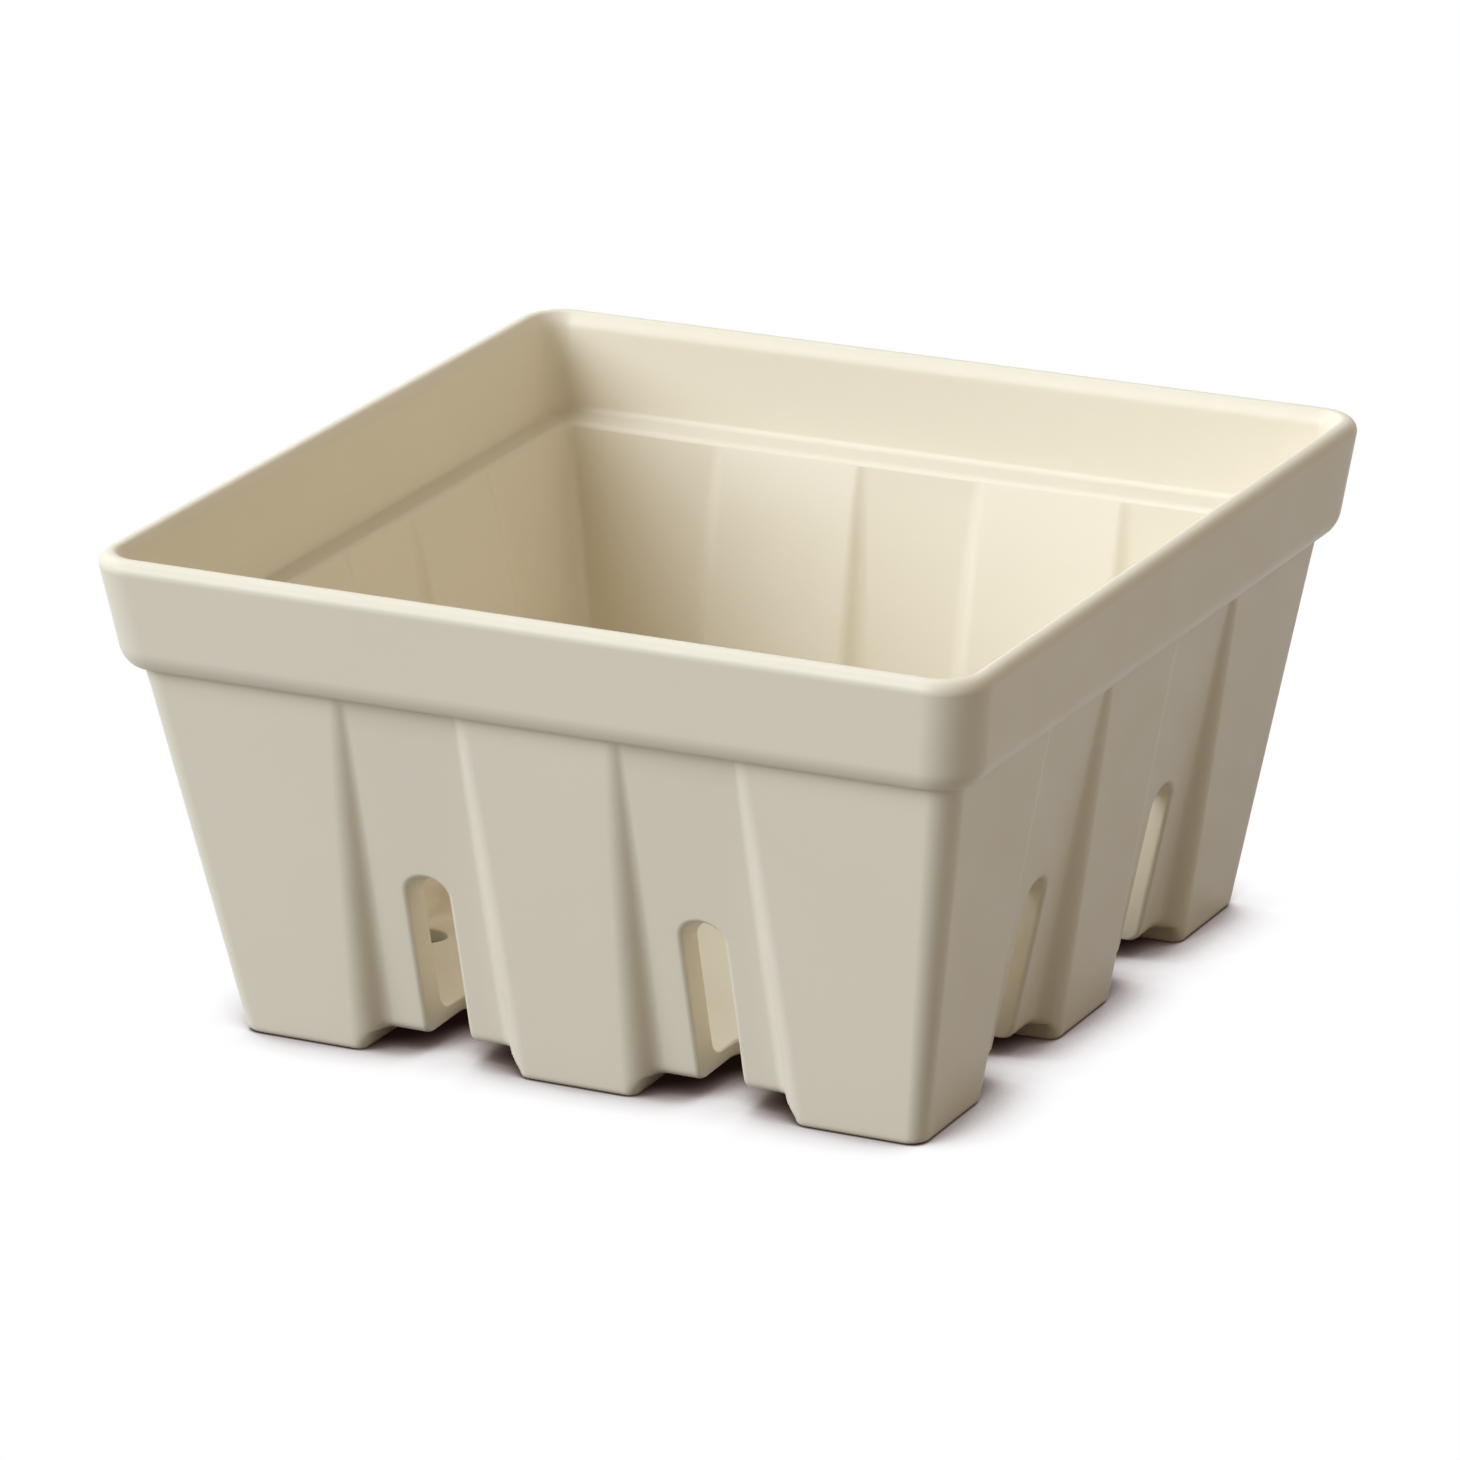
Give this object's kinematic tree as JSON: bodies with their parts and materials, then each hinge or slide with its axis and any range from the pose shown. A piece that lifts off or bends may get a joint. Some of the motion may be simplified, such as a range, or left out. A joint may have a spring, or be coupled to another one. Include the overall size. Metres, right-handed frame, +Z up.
{
  "type": "berry colander",
  "caption": "Square tapered moulded basket with a banded rim, fluted walls, arched drain slots that run into the floor, and low feet, for rinsing and serving berries.",
  "frame": {"origin": "on the ground under the middle of the basket", "axes": "+Z up through the open mouth, +X and +Y square to two of the four like sides, -Y towards the front"},
  "size_m": [0.14, 0.14, 0.075],
  "materials": {
    "moulding": "satin moulded cream"
  },
  "bodies": {
    "root": {"rim_front": "moulding", "rim_right": "moulding", "rim_back": "moulding", "rim_left": "moulding", "wall_front": "moulding", "wall_right": "moulding", "wall_back": "moulding", "wall_left": "moulding", "floor": "moulding", "foot_corner_front_left": "moulding", "foot_corner_front_right": "moulding", "foot_corner_back_right": "moulding", "foot_corner_back_left": "moulding", "foot_middle_front": "moulding", "foot_middle_right": "moulding", "foot_middle_back": "moulding", "foot_middle_left": "moulding"}
  },
  "joints": []
}
